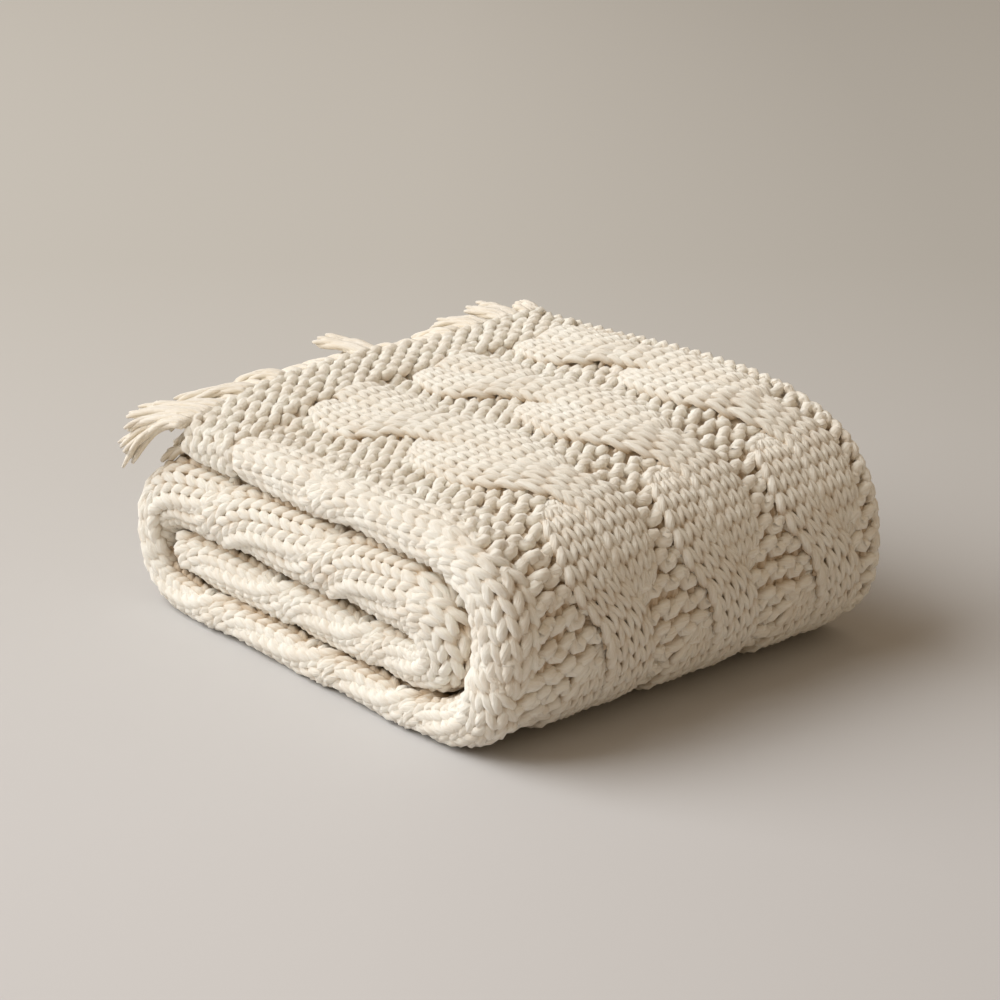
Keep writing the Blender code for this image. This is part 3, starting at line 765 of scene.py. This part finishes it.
# a negative painted shade, which takes off most of the tubes' underside shade, the more at the legs
# that come forward
yarn_tubes("selvedge_chain", edge_skin(s, up, out), edge_skin(s, up, out + 1.0),
                                SELVEDGE_YARN * (1 + 0.08 * front), -0.25 - 0.15 * front, KNIT_WOOL)
course, q_wale = pairs(0.0, KNIT_END, FAR_FOLD_WALES)
yarn_tubes("ground_on_far_fold", *ground_stitches(
    course, q_wale, far_fold_skin, lift=3.3), KNIT_WOOL)


# ---- Border: five garter ridges that keep the fringed end flat -----------------------------------
# The same yarn, with every other course purled, so that ridges of plump bumps stand up side by
# side, each a wavy rope.
RIDGES = 5
FIRST_RIDGE = 8.0
RIDGE_PITCH = 13.2
RIDGE_SHIFT = 0.18                   # of a wale, from one ridge to the next
BORDER_WALE = 17.4
BORDER_WALES = np.arange(-50.0, 430.0, BORDER_WALE)     # from under the near fold to the far edge
BORDER_YARN = 4.9
BORDER_DOWN = 5.4                    # middle of a bump's yarn, under the band's skin
BUMP_DEPTH = 1.3
ROUND_FOLD = -52.0                   # the ridges go round the near fold to this place under it
x_loop, y_loop, z_loop = yarn_loop(lean=0.07, height=2.5, depth=BUMP_DEPTH, steps=17)
rows, q_wale = (grid.ravel()[:, None] for grid in
                np.meshgrid(np.arange(RIDGES), BORDER_WALES, indexing="ij"))
q = q_wale + (x_loop[None, :] + RIDGE_SHIFT * rows) * BORDER_WALE
s = FIRST_RIDGE + rows * RIDGE_PITCH + (y_loop - 0.8 * np.sin(4 * math.pi * x_loop))[None, :]
s = s + wander(rows + 7, q, size=1.8, seed=53)
out = z_loop[None, :] - BORDER_DOWN + wander(rows + 3, q, size=0.9, seed=59)
keep = (q < across_top(s, BAND_WIDTH - 4.0)).all(axis=1) & (q > ROUND_FOLD).all(axis=1)
s, q, out = s[keep], q[keep], out[keep]
front = z_loop[None, :] / BUMP_DEPTH + 0 * s
# painted shade: light on the bumps that come forward, deeper at their backs
yarn_tubes("garter_border", skin(s, q, out), skin(s, q, out + 1.0),
                                BORDER_YARN * (1 + 0.09 * front), 0.14 - 0.16 * front, KNIT_WOOL)


# ---- Fringe: cut lengths of the same yarn, knotted through the cloth's end, soft and blunt -------
# They hang from all three plies at the end of the top layer and splay at the near corner. Each
# strand is three soft plies of spun wool, frayed a little at its end.
END_HEIGHT = float(thickness(0.0))   # of the band, from its inner line, at the fringed end
FRINGE_ROWS = (   # first and last place across, strands, height in the band, length, fall, sway
    (402.0, 20.0, 30, END_HEIGHT - 6.3, 50.0, 26.0, 4.0),
    (20.0, 384.0, 28, 6.3, 46.0, 24.0, 6.0),
    (384.0, 32.0, 28, 19.0, 48.0, 24.0, 5.0))
TUFTS = (   # place across, strands, length, fall at the tip, sway towards the near side
    (6.0, 3, 76.0, 46.0, 16.0), (12.0, 2, 72.0, 24.0, 22.0), (24.0, 3, 74.0, 11.0, 24.0),
    (40.0, 2, 70.0, 8.0, 30.0), (74.0, 3, 58.0, 10.0, 44.0), (106.0, 2, 40.0, 12.0, 20.0),
    (204.0, 4, 54.0, 0.0, 10.0), (300.0, 3, 40.0, 19.0, 9.0), (334.0, 4, 46.0, 7.0, 8.0),
    (368.0, 4, 48.0, 2.0, 6.0), (394.0, 3, 26.0, 2.0, -8.0))
TUFT_GAP = 4.6                       # between two strands of a tuft
TUFT_HEIGHT = END_HEIGHT - 4.0
KNOTTED_IN = 5.0                     # a strand starts this far inside the cloth's end
FURTHEST_OUT = -80.0                 # a strand goes no further: the top layer's line ends there
TWIN_GAP = 1.9                       # each knot's two ends leave the cloth this far to either side
WAVE = 2.2                           # how far a strand strays from its line at its tip
KNOT_RISE = 3.0                      # a strand rises this much as it leaves its knot
# its second tone is the colour of the painted shade
FRINGE_WOOL = wool("cream wool, soft spun fringe", "#fcfaf4", "#dcc8a0", streak=0.8)


def fringe_lines():
    """Centre lines of the strands: each leaves the cloth's end, runs out u times its length,
    falls with u to the power 1.8 and sways with u to the power 1.3, with slow sines in it."""
    rows = [(np.linspace(first, last, count), h, length, fall, sway)
            for first, last, count, h, length, fall, sway in FRINGE_ROWS]
    rows += [(v0 + TUFT_GAP * (np.arange(count) - (count - 1) / 2), TUFT_HEIGHT, length, fall, sway)
             for v0, count, length, fall, sway in TUFTS]
    u = np.linspace(0.0, 1.0, 13)
    draw = np.random.default_rng(5)
    lines = []
    for v_row, h, length, fall, sway in rows:
        for v0 in v_row:
            for twin in (-1, 1):
                size = length * draw.uniform(0.84, 1.06)
                aside, aside_at, bob, bob_at, droop, level, spread = draw.uniform(-1, 1, 7)
                s = KNOTTED_IN - (size + KNOTTED_IN) * u
                v = v0 + twin * (TWIN_GAP + WAVE * u * spread) - sway * u ** 1.3
                v = v + WAVE * aside * np.sin(6 * u + 3 * aside_at) * u
                lift = -fall * (1 + 0.25 * droop) * u ** 1.8
                lift = lift + WAVE * bob * np.sin(6 * u + 3 * bob_at) * u
                lift = lift + KNOT_RISE * np.sin(math.pi * np.minimum(u, 0.5))
                line = place(np.maximum(s, FURTHEST_OUT), v, np.full(len(u), h + 1.2 * level))
                line[:, 2] += lift / 1000
                lines.append(line)
    return np.array(lines), u


def ply_up(lines, u):
    """Three soft plies for every strand, a third of a turn apart: each circles the strand's line
    by half a turn to a whole one, and opens from 1.5 mm to 3 mm off it where the end has frayed.
    A ply stops at its own share of the strand's length."""
    draw = np.random.default_rng(8)
    thirds = np.array([0.0, 2.09, 4.19])[:, None]
    start = draw.uniform(0, 2 * math.pi, (len(lines), 1, 1)) + thirds
    turn = start + draw.uniform(3.0, 6.5, (len(lines), 1, 1)) * u
    apart = np.interp(u, (0.0, 0.6, 0.85, 1.0), (1.5, 1.7, 2.1, 3.0))
    along = np.gradient(lines, axis=1)
    along /= np.linalg.norm(along, axis=-1, keepdims=True)
    side = np.cross(along, np.array([0.0, 0.0, 1.0]))
    side /= np.linalg.norm(side, axis=-1, keepdims=True)
    up = np.cross(side, along)
    plies = lines[:, None] + apart[:, None] / 1000 * (
        np.cos(turn)[..., None] * side[:, None] + np.sin(turn)[..., None] * up[:, None])
    stop = draw.uniform(0.86, 1.0, (len(lines), 3, 1, 1))
    root = plies[:, :, :1]
    return (root + (plies - root) * stop).reshape(-1, len(u), 3)


strands, u = fringe_lines()
plies = ply_up(strands, u)
thick = np.interp(u, (0.0, 0.15, 0.7, 0.93, 1.0), (2.6, 2.8, 2.9, 2.5, 1.5))[None, :]
thick = thick * np.random.default_rng(9).uniform(0.8, 1.15, (len(plies), 1))
straight_up = np.array([0.0, 0.0, 0.001])
# almost no painted shade of its own; the tubes still paint the plies' undersides deeper
fringe = yarn_tubes("fringe_strands", plies, plies + straight_up, thick, 0.02 + 0 * thick,
                    FRINGE_WOOL, sides=5)
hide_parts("fringe")


# ---- Studio: a pale seamless floor, one big soft light at the left and a weak fill --------------
# The floor is matte paper. The fill comes from the room: warm walls low down, a paler ceiling.
TO_THE_BACK = (-0.767, 0.641, 0.0)   # away from the camera, along the floor
TO_THE_RIGHT = (0.641, 0.767, 0.0)


def studio_paper():
    """Matte paper with painted shade: slightly warmer and darker far behind the object, and darker
    away from the light, as the light falls off."""
    material = bpy.data.materials.new("matte studio paper")
    material.use_nodes = True
    tree = material.node_tree
    shader = tree.nodes["Principled BSDF"]
    shader.inputs["Roughness"].default_value = 0.9
    shader.inputs["Specular IOR Level"].default_value = 0.1
    where = add_node(tree, "ShaderNodeTexCoord")
    # painted shade: the paper is darker, and a little warmer, further back
    behind = add_node(tree, "ShaderNodeVectorMath", {"operation": "DOT_PRODUCT", 1: TO_THE_BACK},
                      {0: where.outputs["Object"]})
    shade_behind = add_node(tree, "ShaderNodeMapRange", {"From Min": -0.4, "From Max": 1.2},
                      {"Value": behind.outputs["Value"]})
    tone = add_node(tree, "ShaderNodeMix", {"data_type": "RGBA", MIX_FIRST: to_linear("#c4c4c5"),
                                            MIX_SECOND: to_linear("#b7b6b2")},
                    {MIX_SHARE: shade_behind.outputs[0]})
    # painted shade: darker towards the right, away from the light
    aside = add_node(tree, "ShaderNodeVectorMath", {"operation": "DOT_PRODUCT", 1: TO_THE_RIGHT},
                     {0: where.outputs["Object"]})
    shade_aside = add_node(tree, "ShaderNodeMapRange", {"From Min": -0.1, "From Max": 0.6, "To Min": 1.0,
                                                   "To Max": 0.87}, {"Value": aside.outputs["Value"]})
    paper = add_node(tree, "ShaderNodeVectorMath", {"operation": "SCALE"},
                     {0: tone.outputs[MIX_RESULT], "Scale": shade_aside.outputs[0]})
    tree.links.new(paper.outputs[0], shader.inputs["Base Color"])
    return material


FLOOR_RADIUS = 12                    # metres
RIM_POINTS = 96
floor_mesh = bpy.data.meshes.new("studio_floor")
turn = np.linspace(0, 2 * math.pi, RIM_POINTS, endpoint=False)
rim = np.stack([FLOOR_RADIUS * np.cos(turn), FLOOR_RADIUS * np.sin(turn), 0 * turn], axis=-1)
floor_mesh.from_pydata(rim.tolist(), [], [tuple(range(RIM_POINTS))])
floor_mesh.materials.append(studio_paper())
floor = bpy.data.objects.new("studio_floor", floor_mesh)
bpy.context.scene.collection.objects.link(floor)


def soft_light(name, stands_at, aim, size, watts, colour):
    """A square area light turned towards a point."""
    lamp = bpy.data.lights.new(name, "AREA")
    lamp.size = size
    lamp.energy = watts
    lamp.color = to_linear(colour)[:3]
    lamp_object = bpy.data.objects.new(name, lamp)
    bpy.context.scene.collection.objects.link(lamp_object)
    lamp_object.location = stands_at
    away = Vector(stands_at) - Vector(aim)
    lamp_object.rotation_euler = away.to_track_quat("Z", "Y").to_euler()


soft_light("window_softbox", stands_at=(-4.34, -4.77, 5.82), aim=(0.0, 0.0, 0.1), size=8.0,
           watts=1055.0, colour="#ffffff")

world = bpy.data.worlds.new("studio")
bpy.context.scene.world = world
world.use_nodes = True
tree = world.node_tree
ray = add_node(tree, "ShaderNodeTexCoord")
split = add_node(tree, "ShaderNodeSeparateXYZ", links={0: ray.outputs["Generated"]})
rise = add_node(tree, "ShaderNodeMapRange", {"From Min": 0.1, "From Max": 0.8},
                {"Value": split.outputs["Z"]})
walls = add_node(tree, "ShaderNodeMix", {"data_type": "RGBA", MIX_FIRST: to_linear("#ffdaab"),
                                         MIX_SECOND: to_linear("#ffe6c8")},
                 {MIX_SHARE: rise.outputs[0]})
tree.links.new(walls.outputs[MIX_RESULT], tree.nodes["Background"].inputs["Color"])
tree.nodes["Background"].inputs["Strength"].default_value = 0.38
bpy.context.scene.view_settings.view_transform = "Standard"

camera = bpy.data.cameras.new("camera")
camera.lens = 98.53
camera.sensor_width = 36.0
camera.clip_start = 0.01
eye = bpy.data.objects.new("camera", camera)
bpy.context.scene.collection.objects.link(eye)
eye.location = (1.67657, -1.39871, 0.88945)
looking_down, turned = 19.7, 50.1    # degrees
eye.rotation_euler = (math.radians(90 - looking_down), 0.0, math.radians(turned))
bpy.context.scene.camera = eye
